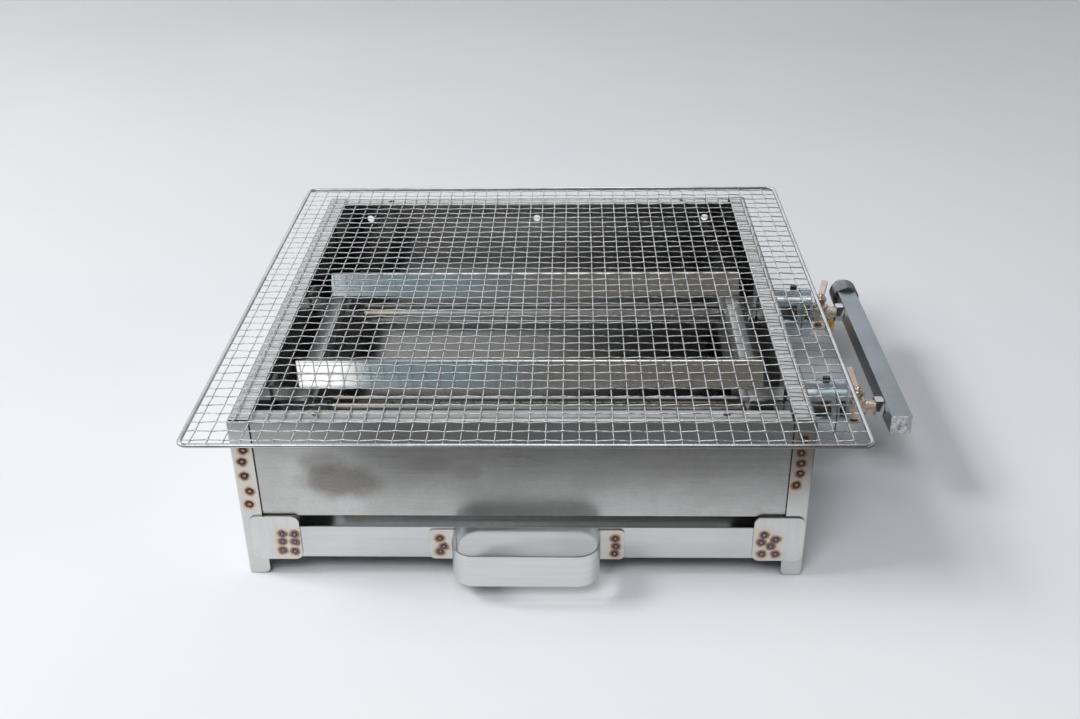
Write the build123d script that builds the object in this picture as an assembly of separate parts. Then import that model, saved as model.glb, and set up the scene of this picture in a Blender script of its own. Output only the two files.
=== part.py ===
from build123d import *
import math
import os

# Table-top gas grill: a folded stainless box with two pipe burners, a lift-out
# deflector rack, a slide-out drip tray, a loose wire grate on top, and a gas
# manifold on the right with one cock and one air mixer per burner.
# Frame: +X right, +Y back, +Z up. The origin is the centre of the four holes in
# the top flange, in the plane of the flange's upper face. Millimetres.

# --------------------------------------------------------- shared dimensions
BOX_W = 438.0          # body width, outside
BOX_D = 448.0          # body depth, outside
BOX_H = 142.0          # flange top to the soles of the feet
SHEET = 1.5            # body sheet
BEND_OUT = 2.5         # outside bend radius
BEND_IN = BEND_OUT - SHEET
HALF_W, HALF_D = BOX_W / 2, BOX_D / 2
WALL_X = HALF_W - SHEET   # inner face of the side walls, from the centre
SIDE_FLANGE = 16.5     # inward top flange on the sides
WALL_BOTTOM = -131.0   # lower edge of the sides between the legs, and of the back

BURNER_Y = 89.0        # burner axes lie this far before and behind the centre
BURNER_Z = -69.0
BURNERS = (("front", -BURNER_Y), ("rear", BURNER_Y))
PIPE_R = 8.6
PIPE_BORE = PIPE_R - 1.6
PIPE_LEFT, PIPE_RIGHT = -166.0, 232.0

FIT = 0.03             # radial gap between mating round parts
LAY_GAP = 0.1          # gap under parts that rest on a support

TRAY_TOP, TRAY_BOTTOM = -96.5, -126.5

RIDGE_Z = -21.7        # ridge of the deflectors, taken at the sharp corner
RIDGE_FRONT_Y, RIDGE_REAR_Y = -89.5, 84.5
DEFL_LEG = 25.0
RACK_TOP = RIDGE_Z - (DEFL_LEG + SHEET) / math.sqrt(2)   # feet of the deflectors
RACK_H = 15.0

MIX_X0, MIX_X1 = 230.0, 270.2   # ends of the mixer's drum
ORIFICE_R = 6.0
COLLAR_T = 3.0                  # hexagon collar of the orifice
COCK_X0 = MIX_X1 + COLLAR_T     # the cock's outlet end faces the orifice
NECK_R = 5.5                    # gas neck between cock and rail
TEST_X = 292.2         # axis of the pressure test point under the rear cock
RAIL_X0 = 303.4
RAIL_W = 17.4
GAS_BORE_R = 2.5

os.makedirs("parts", exist_ok=True)


# ------------------------------------------------------------------ helpers
def box(x0, x1, y0, y1, z0, z1):
    return Pos((x0 + x1) / 2, (y0 + y1) / 2, (z0 + z1) / 2) * Box(
        abs(x1 - x0), abs(y1 - y0), abs(z1 - z0)
    )


def rod_x(radius, x0, x1, y, z):
    return Pos((x0 + x1) / 2, y, z) * Rot(0, 90, 0) * Cylinder(radius, x1 - x0)


def rod_y(radius, x, y0, y1, z):
    return Pos(x, (y0 + y1) / 2, z) * Rot(90, 0, 0) * Cylinder(radius, y1 - y0)


def rod_z(radius, x, y, z0, z1):
    return Pos(x, y, (z0 + z1) / 2) * Cylinder(radius, z1 - z0)


def near(value, target):
    return abs(value - target) < 0.05


def flat_face(points, bends=()):
    # closed outline; bends lists (corner, radius) pairs to round
    face = make_face(Polyline(*points, close=True))
    for (bend_x, bend_y), radius in bends:
        corner = [v for v in face.vertices() if near(v.X, bend_x) and near(v.Y, bend_y)]
        face = fillet(corner, radius)
    return face


def turned_x(points, y):
    # closed (x, radius) outline turned about a burner axis
    return Pos(0, y, BURNER_Z) * revolve(flat_face(points), axis=Axis.X)


def hexagon(across_flats):
    return RegularPolygon(across_flats / 2, 6, major_radius=False)


def hex_x(across_flats, x0, x1, y, bore, turn=0):
    # bored hexagon on a burner axis
    nut = Pos(x0, y, BURNER_Z) * extrude(
        Plane.YZ * Rot(0, 0, turn) * hexagon(across_flats), x1 - x0
    )
    return nut - rod_x(bore, x0 - 1, x1 + 1, y, BURNER_Z)


def swept_rod(path, radius, is_frenet=False):
    profile = Plane(origin=path @ 0, z_dir=path % 0) * Circle(radius)
    return sweep(profile, path=path, is_frenet=is_frenet)


def edges_at(shape, axis, xs=None, y=None, z=None):
    # edges along the axis whose centre is at one of xs, and at y and z
    def fits(edge):
        centre = edge.center()
        return (
            (xs is None or any(near(centre.X, x) for x in xs))
            and (y is None or near(centre.Y, y))
            and (z is None or near(centre.Z, z))
        )

    return shape.edges().filter_by(axis).filter_by(fits)


def circles(shape):
    return shape.edges().filter_by(GeomType.CIRCLE)


def to_right(part):
    return mirror(part, Plane.YZ)


def group(parts):
    return Compound(children=[part.solid() for part in parts])


def save(shape, name):
    shape.label = name
    export_step(shape, "parts/" + name + ".step")


# ------------------------------------------------------------- side panels
LEG_W = 16.8           # width of the corner flanges that run down as legs
LEG_RETURN = 20.0      # side wall left standing beside each leg
LEG_TOP_GAP = 0.6
FOOT_R = 5.0


def side_panel():
    # the left panel
    wall_end = HALF_D - BEND_OUT
    # wall and top flange, seen along Y: points are (x, z)
    section = flat_face(
        [
            (-HALF_W, WALL_BOTTOM), (-HALF_W, 0), (-HALF_W + SIDE_FLANGE, 0),
            (-HALF_W + SIDE_FLANGE, -SHEET), (-WALL_X, -SHEET), (-WALL_X, WALL_BOTTOM),
        ],
        [((-HALF_W, 0), BEND_OUT), ((-WALL_X, -SHEET), BEND_IN)],
    )
    panel = Pos(0, wall_end, 0) * extrude(Plane.XZ * section, 2 * wall_end)
    # front leg, seen from above: points are (x, y)
    leg_x, leg_y = -HALF_W + LEG_W, -HALF_D + SHEET
    section = flat_face(
        [
            (-HALF_W, -HALF_D), (leg_x, -HALF_D), (leg_x, leg_y), (-WALL_X, leg_y),
            (-WALL_X, -HALF_D + LEG_RETURN), (-HALF_W, -HALF_D + LEG_RETURN),
        ],
        [((-HALF_W, -HALF_D), BEND_OUT), ((-WALL_X, leg_y), BEND_IN)],
    )
    leg = Pos(0, 0, -BOX_H) * extrude(section, BOX_H - LEG_TOP_GAP)
    leg = fillet(edges_at(leg, Axis.Y, xs=[leg_x], z=-BOX_H), FOOT_R)
    panel += leg
    panel += mirror(leg, Plane.XZ)
    # nothing stands outside the rounded long bend
    envelope = flat_face(
        [(-HALF_W, -BOX_H - 1), (-HALF_W, 0), (0, 0), (0, -BOX_H - 1)],
        [((-HALF_W, 0), BEND_OUT)],
    )
    panel &= Pos(0, HALF_D + 5, 0) * extrude(Plane.XZ * envelope, BOX_D + 10)
    # trim the top of each leg's inner bend, beyond the end of the top flange
    trim_y = HALF_D - SHEET
    for side in (-1, 1):
        panel -= box(
            -WALL_X + 0.2, -HALF_W + 30, side * trim_y, side * (trim_y - 0.9), -SHEET - 0.1, 1
        )
    return panel


BOLT_HOLE_R = 3.2
left_panel = side_panel()
right_panel = to_right(left_panel)
for _, y in BURNERS:
    left_panel -= rod_x(BOLT_HOLE_R, -HALF_W - 2, -HALF_W + 3, y, BURNER_Z)
    right_panel -= rod_x(PIPE_R + 0.5, HALF_W - 3, HALF_W + 2, y, BURNER_Z)
save(left_panel, "side_panel_left")
save(right_panel, "side_panel_right")

# ---------------------------------------------------- front and rear panels
FRONT_FLANGE = 16.0
FRONT_PANEL_BOTTOM = -86.5
REAR_FLANGE = 21.0
PANEL_X = WALL_X - 1.05                # the edge stands clear of the leg's inner bend
FLANGE_X = HALF_W - SIDE_FLANGE - 2.0  # the top flange ends short of the side flanges
HOLE_X, HOLE_Y = 153.0, 213.5          # half spacings of the flange holes
HOLE_R = 2.5
VENT_X, VENT_Z = 178.0, -22.8
VENT_R = 3.75


def cross_panel(front, bottom, flange):
    # modelled at the front, mirrored for the rear
    y_out = -HALF_D + SHEET
    y_in = -HALF_D + flange
    # seen along X: points are (y, z)
    section = flat_face(
        [
            (y_out, bottom), (y_out, 0), (y_in, 0), (y_in, -SHEET),
            (y_out + SHEET, -SHEET), (y_out + SHEET, bottom),
        ],
        [((y_out, 0), BEND_OUT), ((y_out + SHEET, -SHEET), BEND_IN)],
    )
    panel = Pos(-FLANGE_X, 0, 0) * extrude(Plane.YZ * section, 2 * FLANGE_X)
    # flat ends of the wall, beyond the flange
    for side in (-1, 1):
        panel += box(
            side * (FLANGE_X - 1), side * PANEL_X, y_out, y_out + SHEET, bottom, -BEND_OUT - 0.4
        )
    if not front:
        panel = mirror(panel, Plane.XZ)
    hole_y = -HOLE_Y if front else HOLE_Y
    for x in (-HOLE_X, HOLE_X):
        panel -= rod_z(HOLE_R, x, hole_y, -SHEET - 1, 1)
    return panel


save(cross_panel(True, FRONT_PANEL_BOTTOM, FRONT_FLANGE), "front_panel")
rear_panel = cross_panel(False, WALL_BOTTOM, REAR_FLANGE)
for x in (-VENT_X, 0, VENT_X):
    rear_panel -= rod_y(VENT_R, x, HALF_D - 6, HALF_D + 2, VENT_Z)
save(rear_panel, "rear_panel")

# ---------------------------------------- tray runners and rack brackets
ANGLE_UP = 14.0        # upright leg of runners and brackets, above the shelf
RUNNER_TOP = TRAY_BOTTOM - LAY_GAP   # the drip tray slides on this face
RUNNER_X = -188.0      # inner edge of the left runner
RUNNER_Y = HALF_D - 8
BRACKET_TOP = RACK_TOP - RACK_H - LAY_GAP
BRACKET_X = -181.0     # inner edge of the left brackets
BRACKET_HALF_W = 11.0


def runner():
    # left runner, an angle against the side wall
    bottom = RUNNER_TOP - SHEET
    part = box(
        -WALL_X, -WALL_X + SHEET, -RUNNER_Y, RUNNER_Y, bottom, RUNNER_TOP + ANGLE_UP
    )
    part += box(-WALL_X, RUNNER_X, -RUNNER_Y, RUNNER_Y, bottom, RUNNER_TOP)
    return fillet(edges_at(part, Axis.Y, xs=[-WALL_X], z=bottom), 2.0)


def bracket(y):
    # left bracket, a short angle with rounded corners on its shelf
    bottom = BRACKET_TOP - SHEET
    y0, y1 = y - BRACKET_HALF_W, y + BRACKET_HALF_W
    part = box(-WALL_X, BRACKET_X, y0, y1, bottom, BRACKET_TOP)
    part += box(-WALL_X, -WALL_X + SHEET, y0, y1, bottom, BRACKET_TOP + ANGLE_UP)
    part = fillet(edges_at(part, Axis.Z, xs=[BRACKET_X]), 4.0)
    return fillet(edges_at(part, Axis.Y, xs=[-WALL_X], z=bottom), 2.0)


save(runner(), "tray_runner_left")
save(to_right(runner()), "tray_runner_right")
left_brackets = [bracket(y) for y in (RIDGE_FRONT_Y, RIDGE_REAR_Y)]
save(group(left_brackets + [to_right(part) for part in left_brackets]), "rack_brackets")

# ---------------------------------------------------------------- burners
PORT_R = 1.0
PORT_PITCH = 10.0
PORT_FIRST = -126.0
PORT_COUNT = 25
PORT_ANGLE = 38.0      # from straight up, to the front and to the back
STAY_R = 3.0           # stay bolt between the left wall and the end plug
STAY_BORE = STAY_R + 0.02
STAY_AF = 10.0         # across flats of the bolt's head and nuts
HEAD_T = 4.2
NUT_T = 5.0
LOCK_AF = 22.0         # lock nuts on both faces of the right wall


def burner_pipe(y):
    pipe = rod_x(PIPE_R, PIPE_LEFT, PIPE_RIGHT, y, BURNER_Z)
    pipe -= rod_x(PIPE_BORE, PIPE_LEFT - 1, PIPE_RIGHT + 1, y, BURNER_Z)
    drills = [
        Pos(PORT_FIRST + i * PORT_PITCH, y, BURNER_Z)
        * Rot(-side * PORT_ANGLE, 0, 0)
        * Pos(0, 0, PIPE_R)
        * Cylinder(PORT_R, 8)
        for side in (-1, 1)
        for i in range(PORT_COUNT)
    ]
    return pipe - drills


def end_plug(y):
    plug = rod_x(PIPE_R, PIPE_LEFT - 2.5, PIPE_LEFT, y, BURNER_Z)
    plug += rod_x(PIPE_BORE - 0.02, PIPE_LEFT, PIPE_LEFT + 8, y, BURNER_Z)
    plug = chamfer(circles(plug).sort_by(Axis.X)[0], 1.0)
    return plug - rod_x(STAY_BORE, PIPE_LEFT - 5, PIPE_LEFT + 10, y, BURNER_Z)


def stay_bolt(y):
    bolt = rod_x(STAY_R, -HALF_W, PIPE_LEFT + 5, y, BURNER_Z)
    head = hex_x(STAY_AF, -HALF_W - HEAD_T, -HALF_W, y, 0.5, turn=30)
    # the core closes the hexagon's bore
    head += rod_x(1.0, -HALF_W - HEAD_T, -HALF_W, y, BURNER_Z)
    return bolt + head


def stay_nut(x0, y):
    return hex_x(STAY_AF, x0, x0 + NUT_T, y, STAY_BORE, turn=30)


def lock_nut(x0, x1, y):
    return hex_x(LOCK_AF, x0, x1, y, PIPE_R + FIT)


for name, y in BURNERS:
    save(burner_pipe(y), "burner_pipe_" + name)
save(group([end_plug(y) for _, y in BURNERS]), "burner_end_plugs")
save(group([stay_bolt(y) for _, y in BURNERS]), "burner_stay_bolts")
save(
    group([stay_nut(x0, y) for _, y in BURNERS for x0 in (-WALL_X, PIPE_LEFT - 7.6)]),
    "burner_stay_nuts",
)
save(
    group([
        lock_nut(x0, x1, y)
        for _, y in BURNERS
        for x0, x1 in ((WALL_X - 7.5, WALL_X), (HALF_W, HALF_W + 6.0))
    ]),
    "burner_lock_nuts",
)

# ---------------------------------------------------------------- drip tray
TRAY_HALF_W = 200.0
TRAY_FRONT, TRAY_BACK = -224.1, 212.0
TRAY_T = 1.2
STRIP_T = 1.5          # stop plates and handle strip
STRIP_Y = TRAY_FRONT - STRIP_T
STOP_W = 39.0
STOP_Z0, STOP_Z1 = -127.0, -86.0
LOOP_X0, LOOP_X1 = -53.7, 59.8   # sides of the handle loop
LOOP_Y = TRAY_FRONT - 35.0       # front of the handle loop
LOOP_R = 18.0
TAB_X0, TAB_X1 = -73.0, 79.0     # ends of the handle's tabs
HANDLE_Z0, HANDLE_Z1 = -126.0, -98.0


def drip_tray():
    tray = box(-TRAY_HALF_W, TRAY_HALF_W, TRAY_FRONT, TRAY_BACK, TRAY_BOTTOM, TRAY_TOP)
    tray = fillet(tray.edges().filter_by(Axis.Z), 2.0)
    tray = fillet(tray.faces().sort_by(Axis.Z)[0].edges(), 1.8)
    return tray - box(
        -TRAY_HALF_W + TRAY_T, TRAY_HALF_W - TRAY_T, TRAY_FRONT + TRAY_T, TRAY_BACK - TRAY_T,
        TRAY_BOTTOM + TRAY_T, TRAY_TOP + 5,
    )


def stop_plate(x):
    plate = box(x - STOP_W / 2, x + STOP_W / 2, STRIP_Y, TRAY_FRONT, STOP_Z0, STOP_Z1)
    return fillet(plate.edges().filter_by(Axis.Y), 6.0)


def tray_handle():
    # one strip with a tab at each end, folded forward into a wide loop
    inner_x0, inner_x1 = LOOP_X0 + STRIP_T, LOOP_X1 - STRIP_T
    inner_y = LOOP_Y + STRIP_T
    outer = box(LOOP_X0, LOOP_X1, LOOP_Y, TRAY_FRONT, HANDLE_Z0, HANDLE_Z1)
    outer = fillet(edges_at(outer, Axis.Z, y=LOOP_Y), LOOP_R)
    inner = box(inner_x0, inner_x1, inner_y, TRAY_FRONT + 5, HANDLE_Z0 - 1, HANDLE_Z1 + 1)
    inner = fillet(edges_at(inner, Axis.Z, y=inner_y), LOOP_R - STRIP_T)
    handle = outer - inner
    handle += box(TAB_X0, inner_x0, STRIP_Y, TRAY_FRONT, HANDLE_Z0, HANDLE_Z1)
    handle += box(inner_x1, TAB_X1, STRIP_Y, TRAY_FRONT, HANDLE_Z0, HANDLE_Z1)
    # both sides of the bend between loop and tab, then the tab corners
    handle = fillet(edges_at(handle, Axis.Z, xs=[inner_x0, inner_x1], y=TRAY_FRONT), 2.8)
    handle = fillet(edges_at(handle, Axis.Z, xs=[LOOP_X0, LOOP_X1], y=STRIP_Y), 1.3)
    return fillet(edges_at(handle, Axis.Y, xs=[TAB_X0, TAB_X1]), 4.0)


save(drip_tray(), "drip_tray")
save(stop_plate(-193.5), "tray_stop_plate_left")
save(stop_plate(198.0), "tray_stop_plate_right")
save(tray_handle(), "tray_handle")

# ---------------------------------------------------------- deflector rack
DEFL_X0, DEFL_X1 = -196.0, 198.0
RACK_W = 13.0
RACK_Y0, RACK_Y1 = -127.0, 103.0
# name, inner face of the upright, direction the top leg runs
RACK_RAILS = (("left", -182.5, -1), ("right", 183.5, 1))


def deflector(y):
    section = flat_face([
        (0, 0), (DEFL_LEG, 0), (DEFL_LEG, SHEET), (SHEET, SHEET), (SHEET, DEFL_LEG),
        (0, DEFL_LEG),
    ])
    body = extrude(section, DEFL_X1 - DEFL_X0)
    body = fillet(edges_at(body, Axis.Z, xs=[0], y=0), 2.6)
    body = fillet(edges_at(body, Axis.Z, xs=[SHEET], y=SHEET), 1.1)
    # the section's corner points up and its length runs along X
    body = Plane.YZ * (Rot(0, 0, -135) * body)
    return Pos(DEFL_X0, y, RIDGE_Z) * body


def rack_rail(face_x, outward):
    under_x = face_x + outward * SHEET
    part = box(face_x, face_x + outward * RACK_W, RACK_Y0, RACK_Y1, RACK_TOP - SHEET, RACK_TOP)
    part += box(face_x, under_x, RACK_Y0, RACK_Y1, RACK_TOP - RACK_H, RACK_TOP)
    part = fillet(edges_at(part, Axis.Y, xs=[face_x], z=RACK_TOP), 2.2)
    return fillet(edges_at(part, Axis.Y, xs=[under_x], z=RACK_TOP - SHEET), 0.8)


save(deflector(RIDGE_FRONT_Y), "deflector_front")
save(deflector(RIDGE_REAR_Y), "deflector_rear")
for name, face_x, outward in RACK_RAILS:
    save(rack_rail(face_x, outward), "rack_rail_" + name)

# ------------------------------------------------------------------- grate
GRATE_X, GRATE_Y, GRATE_Z = 3.5, -8.0, 1.75   # centre
GRATE_W, GRATE_D = 496.5, 502.5               # on the border rod's centre line
GRATE_CORNER = 7.0
BORDER_R = 1.7
WIRE_R = 0.5
WIRE_PITCH = 12.2
WIRE_LAYER = 0.52      # each wire layer's distance from the grate's mid plane
LONG_FIRST, LONG_COUNT = 8.0, 40     # wires along Y, first one from the left side
CROSS_FIRST, CROSS_COUNT = 7.25, 41  # wires along X, first one from the front side

border = Pos(GRATE_X, GRATE_Y, GRATE_Z) * Wire(
    RectangleRounded(GRATE_W, GRATE_D, GRATE_CORNER).edges()
)
save(swept_rod(border, BORDER_R), "grate_border")

grate_left, grate_right = GRATE_X - GRATE_W / 2, GRATE_X + GRATE_W / 2
grate_front, grate_back = GRATE_Y - GRATE_D / 2, GRATE_Y + GRATE_D / 2
long_wires = [
    rod_y(
        WIRE_R, grate_left + LONG_FIRST + i * WIRE_PITCH,
        grate_front + BORDER_R, grate_back - BORDER_R, GRATE_Z + WIRE_LAYER,
    )
    for i in range(LONG_COUNT)
]
cross_wires = [
    rod_x(
        WIRE_R, grate_left + BORDER_R, grate_right - BORDER_R,
        grate_front + CROSS_FIRST + i * WIRE_PITCH, GRATE_Z - WIRE_LAYER,
    )
    for i in range(CROSS_COUNT)
]
save(group(long_wires), "grate_wires_lengthwise")
save(group(cross_wires), "grate_wires_crosswise")

# ------------------------------------------------- mixers and air shutters
MIX_R = 24.0           # outer radius of mixer rim and air shutter
MIX_BODY_R = 22.0
MIX_BORE_R = 19.5
HUB_X0 = 226.5         # left end of the hub on the pipe
HUB_R = 13.0
RIM_X = 260.0
SHUTTER_X0, SHUTTER_X1 = MIX_X0 + 2.6, RIM_X - 0.4
WINDOW_DEG = 38.0
WINDOW_CENTRES = [24.0 + 120 * k for k in range(3)]   # degrees up from straight forward
WINDOW_X0, WINDOW_X1 = 238.0, 256.0
RIM_WINDOW_X0, RIM_WINDOW_X1 = 261.6, 267.0
SCREW_X = 254.0
SCREW_LEAN = 10.0      # from straight up, to the back


def windows(x0, x1, r0, y):
    # wedges around a burner axis, from radius r0 to beyond the rim
    cutters = []
    for centre in WINDOW_CENTRES:
        a0 = math.radians(centre - WINDOW_DEG / 2)
        a1 = math.radians(centre + WINDOW_DEG / 2)
        r1 = (MIX_R + 2) / math.cos((a1 - a0) / 2) + 1
        face = flat_face([
            (-radius * math.cos(angle), radius * math.sin(angle))
            for radius, angle in ((r0, a0), (r1, a0), (r1, a1), (r0, a1))
        ])
        cutters.append(Pos(x0, y, BURNER_Z) * extrude(Plane.YZ * face, x1 - x0))
    return cutters


def mixer_body(y):
    body = turned_x(
        [
            (HUB_X0, PIPE_R + FIT), (HUB_X0, HUB_R), (MIX_X0, HUB_R), (MIX_X0, MIX_BODY_R),
            (RIM_X, MIX_BODY_R), (RIM_X, MIX_R), (MIX_X1 - 1.2, MIX_R), (MIX_X1, MIX_R - 1.2),
            (MIX_X1, ORIFICE_R + FIT), (MIX_X1 - 3, ORIFICE_R + FIT), (MIX_X1 - 3, MIX_BORE_R),
            (MIX_X0 + 2.5, MIX_BORE_R), (MIX_X0 + 2.5, 12.0), (MIX_X0 + 5.0, 12.0),
            (MIX_X0 + 5.0, PIPE_R + FIT),
        ],
        y,
    )
    for cutter in windows(WINDOW_X0, WINDOW_X1, 16.0, y):
        body -= cutter
    for cutter in windows(RIM_WINDOW_X0, RIM_WINDOW_X1, 17.5, y):
        body -= cutter
    return body


def screw_frame(y):
    # on the burner axis, with Z along the shutter screw
    return Pos(SCREW_X, y, BURNER_Z) * Rot(-SCREW_LEAN, 0, 0)


def air_shutter(y):
    sleeve = turned_x(
        [
            (SHUTTER_X0, MIX_BODY_R + 0.05), (SHUTTER_X0, MIX_R - 0.8),
            (SHUTTER_X0 + 0.8, MIX_R), (SHUTTER_X1 - 0.8, MIX_R),
            (SHUTTER_X1, MIX_R - 0.8), (SHUTTER_X1, MIX_BODY_R + 0.05),
        ],
        y,
    )
    for cutter in windows(WINDOW_X0, WINDOW_X1 - 1.0, 16.0, y):
        sleeve -= cutter
    return sleeve - screw_frame(y) * Pos(0, 0, 23) * Cylinder(1.95, 8)


def shutter_screw(y):
    frame = screw_frame(y)
    shank_z0, shank_z1 = 22.1, 25.0
    shank = frame * Pos(0, 0, (shank_z0 + shank_z1) / 2) * Cylinder(1.9, shank_z1 - shank_z0)
    head = frame * Pos(0, 0, 25.6) * Cylinder(3.2, 2.6)
    head -= frame * Pos(0, 0, 26.9) * Box(7, 0.9, 1.4)
    return shank + head


for name, y in BURNERS:
    save(mixer_body(y), "mixer_body_" + name)
    save(air_shutter(y), "air_shutter_" + name)
    save(shutter_screw(y), "shutter_screw_" + name)

# ------------------------------------------------------ orifices and cocks
# Plug, lever, cap and spring are modelled with the plug's axis on Z and the
# burner axis at z = 0; the closed lever points to the back.
COLLAR_R = 8.6
JET_R = 0.55
COCK_X = 280.5         # axis of the cock's plug
COCK_R = 7.2
COCK_HALF_H = 9.0
PLUG_TOP_R, PLUG_BOT_R = 4.6, 3.6
PIN_R = 1.9            # pin under the plug that carries spring and cap
PIN_LEN = 7.2
TEST_BORE_R = 1.5
LEVER_LEN = 38.0
LEVER_Z = 12.5         # underside of the lever's boss
REAR_LEVER_TURN = 16.0 # the rear lever stands this far open


def orifice(y):
    part = turned_x(
        [
            (256.0, JET_R), (256.0, 1.6), (260.0, 4.0), (263.0, ORIFICE_R),
            (MIX_X1, ORIFICE_R), (MIX_X1, COLLAR_R), (COCK_X0, COLLAR_R),
            (COCK_X0, GAS_BORE_R), (259.0, GAS_BORE_R), (258.2, JET_R),
        ],
        y,
    )
    # cut the collar to a hexagon
    return part - Pos(MIX_X1, y, BURNER_Z) * extrude(
        Plane.YZ * (Circle(12) - hexagon(15.0)), COLLAR_T
    )


def valve_body(y, test_boss):
    body = rod_z(COCK_R, COCK_X, y, BURNER_Z - COCK_HALF_H, BURNER_Z + COCK_HALF_H)
    body = chamfer(circles(body), 0.8)
    body += rod_x(NECK_R, COCK_X0, RAIL_X0, y, BURNER_Z)
    body += rod_x(NECK_R + 1.2, 288.2, 290.2, y, BURNER_Z)
    if test_boss:
        body += rod_z(3.3, TEST_X, y, BURNER_Z - 7.5, BURNER_Z)
    body -= rod_x(GAS_BORE_R, COCK_X0 - 1, RAIL_X0 + 1, y, BURNER_Z)
    body -= Pos(COCK_X, y, BURNER_Z) * Cone(
        PLUG_BOT_R + FIT, PLUG_TOP_R + FIT, 2 * COCK_HALF_H + 0.02
    )
    if test_boss:
        body -= rod_z(TEST_BORE_R, TEST_X, y, BURNER_Z - 9, BURNER_Z)
    return body


def valve_plug():
    plug = Cone(PLUG_BOT_R, PLUG_TOP_R, 2 * COCK_HALF_H)
    stem = LEVER_Z - COCK_HALF_H
    plug += Pos(0, 0, COCK_HALF_H + stem / 2) * Cylinder(PLUG_TOP_R - 0.4, stem)
    plug += Pos(0, 0, -COCK_HALF_H - PIN_LEN / 2) * Cylinder(PIN_R, PIN_LEN)
    return plug - Rot(90, 0, 0) * Cylinder(2.2, 20)


def valve_lever():
    boss = Pos(0, 0, LEVER_Z + 2.2) * Cylinder(5.6, 4.4)
    boss = fillet(circles(boss).sort_by(Axis.Z)[-1], 1.2)
    dome_z = LEVER_Z + 3.6
    dome = Pos(0, 0, dome_z) * Sphere(4.2)
    dome &= Pos(0, 0, dome_z + 5) * Box(20, 20, 10)
    # tapered blade with a rounded tip, tilted upward
    tip = [(-3.3, LEVER_LEN), (3.3, LEVER_LEN)]
    blade = flat_face(
        [(-2.6, 3), (2.6, 3), tip[1], tip[0]], [(tip[0], 2.8), (tip[1], 2.8)]
    )
    blade = extrude(blade, 3.0)
    upper = blade.edges().filter_by(lambda e: e.center().Z > 2.9 and e.center().Y > 4)
    blade = chamfer(upper, 0.6)
    blade = Pos(0, 0, LEVER_Z + 0.6) * Rot(3.0, 0, 0) * blade
    return boss + dome + blade


def spring_cap():
    centre = Pos(0, 0, -COCK_HALF_H - 5.2)
    cap = centre * Cylinder(4.4, 3.0)
    cap = chamfer(circles(cap).sort_by(Axis.Z)[0], 0.7)
    return cap - centre * Cylinder(PIN_R + FIT, 8)


def valve_spring():
    coil = Helix(pitch=1.1, height=2.8, radius=3.1)
    return Pos(0, 0, -COCK_HALF_H - 3.25) * swept_rod(coil, 0.4, is_frenet=True)


# only the rear cock has a test boss
for (name, y), turn, test_boss in zip(BURNERS, (0.0, REAR_LEVER_TURN), (False, True)):
    cock = Pos(COCK_X, y, BURNER_Z)
    turned = cock * Rot(0, 0, -turn)
    save(orifice(y), "orifice_" + name)
    save(valve_body(y, test_boss), "valve_body_" + name)
    save(turned * valve_plug(), "valve_plug_" + name)
    save(turned * valve_lever(), "valve_lever_" + name)
    save(turned * spring_cap(), "valve_spring_cap_" + name)
    save(cock * valve_spring(), "valve_spring_" + name)


def test_point_cap(flutes=16):
    cap = rod_z(4.4, TEST_X, BURNER_Y, BURNER_Z - 20.5, BURNER_Z - 7.6)
    cap = chamfer(circles(cap), 0.8)
    for k in range(flutes):
        cap -= (
            Pos(TEST_X, BURNER_Y, BURNER_Z - 14)
            * Rot(0, 0, 360 / flutes * k)
            * Pos(4.65, 0, 0)
            * Cylinder(0.55, 9.5)
        )
    return cap


save(test_point_cap(), "test_point_cap")

# ---------------------------------------------------------------- gas rail
RAIL_T = 2.0
RAIL_Y0, RAIL_Y1 = -118.5, 117.5
RAIL_HALF = RAIL_W / 2
RAIL_X = RAIL_X0 + RAIL_HALF             # rail axis
INSERT_HALF = RAIL_HALF - RAIL_T - 0.05  # half width of what plugs into the rail
GROOVES = (12.8, 14.8)                   # in the top face, from the rail's left face
SOCKET_LEN = 20.0
NOZZLE_HEX_T = 4.5
NOZZLE_R = 4.75        # spigot for 9.5 mm gas hose
NOZZLE_LEN = 18.5


def square_bar(half, y0, y1):
    # on the rail axis
    return box(RAIL_X - half, RAIL_X + half, y0, y1, BURNER_Z - half, BURNER_Z + half)


def gas_rail():
    rail = square_bar(RAIL_HALF, RAIL_Y0, RAIL_Y1)
    rail = fillet(rail.edges().filter_by(Axis.Y), 0.8)
    rail -= square_bar(RAIL_HALF - RAIL_T, RAIL_Y0 - 1, RAIL_Y1 + 1)
    top = BURNER_Z + RAIL_HALF
    for groove in GROOVES:
        x = RAIL_X0 + groove
        rail -= box(x - 0.25, x + 0.25, RAIL_Y0 - 1, RAIL_Y1 + 1, top - 0.25, top + 1)
    for _, y in BURNERS:
        rail -= rod_x(GAS_BORE_R, RAIL_X0 - 1, RAIL_X0 + RAIL_T + 1, y, BURNER_Z)
    return rail


def rail_end_plug():
    plug = square_bar(INSERT_HALF, RAIL_Y0 - 1.2, RAIL_Y0 + 10)
    return fillet(plug.faces().sort_by(Axis.Y)[0].edges(), 1.0)


def inlet_socket():
    socket = rod_y(13.0, RAIL_X, RAIL_Y1, RAIL_Y1 + SOCKET_LEN, BURNER_Z)
    socket = fillet(circles(socket).sort_by(Axis.Y)[0], 1.5)
    socket = chamfer(circles(socket).sort_by(Axis.Y)[-1], 1.0)
    socket += square_bar(INSERT_HALF, RAIL_Y1 - 9, RAIL_Y1 + 1)
    return socket - rod_y(4.0, RAIL_X, RAIL_Y1 - 12, RAIL_Y1 + 30, BURNER_Z)


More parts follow.
